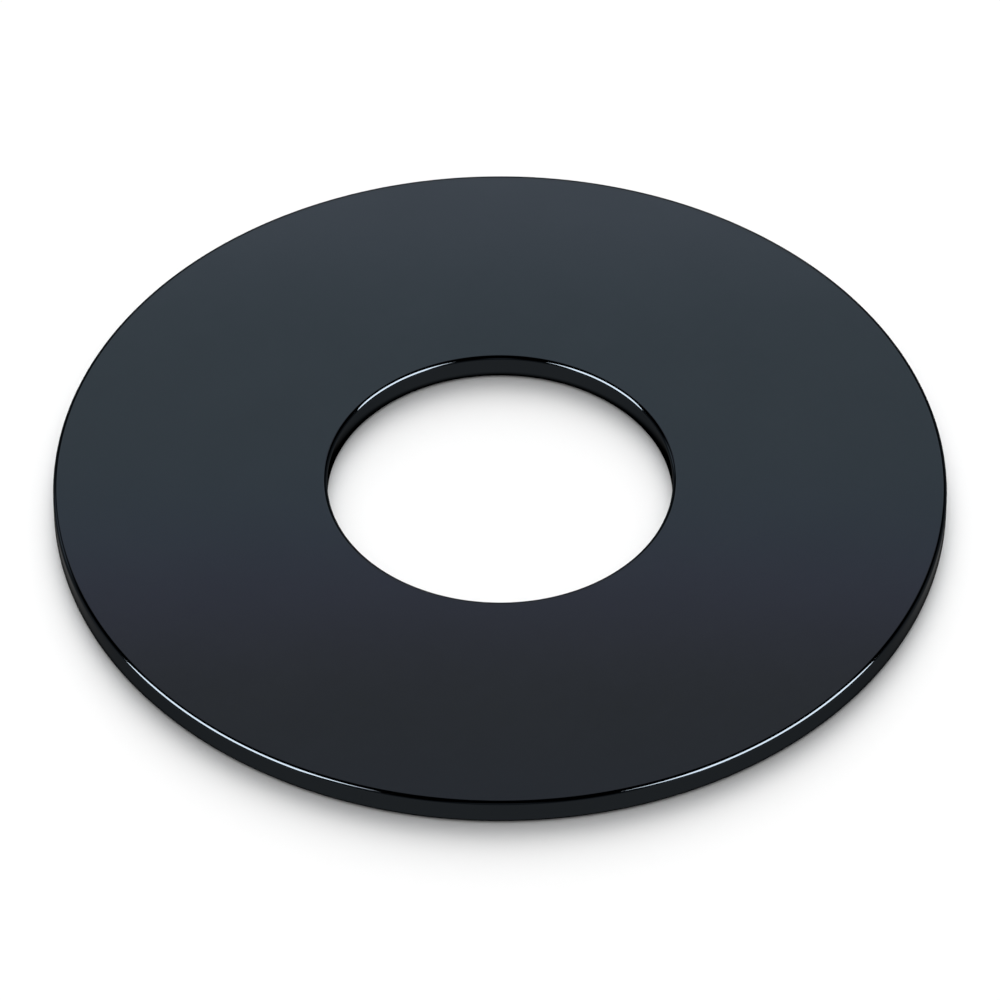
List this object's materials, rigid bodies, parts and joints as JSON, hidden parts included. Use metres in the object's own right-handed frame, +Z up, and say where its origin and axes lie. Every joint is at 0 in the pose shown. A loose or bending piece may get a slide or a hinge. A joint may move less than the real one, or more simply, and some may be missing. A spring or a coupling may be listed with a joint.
{
  "type": "worktop hole cover ring",
  "caption": "Flat round cover ring with a central hole and finely rounded edges, in solid steel with a glossy blue-black coat, and a sealing gasket set into its underside.",
  "frame": {"origin": "centre of the plane that the ring lies on, which is the gasket's lower face, on the axis of the hole", "axes": "+Z up along the hole's axis, out of the worktop; the ring is round, so +X and +Y are any two square directions along the worktop"},
  "size_m": [0.09, 0.09, 0.0028],
  "materials": {
    "coated_steel": "gloss",
    "adhesive_film": "satin",
    "gasket_rubber": "matte"
  },
  "bodies": {
    "root": {"cover_plate": "coated_steel", "adhesive_film": "adhesive_film", "gasket": "gasket_rubber"}
  },
  "joints": []
}
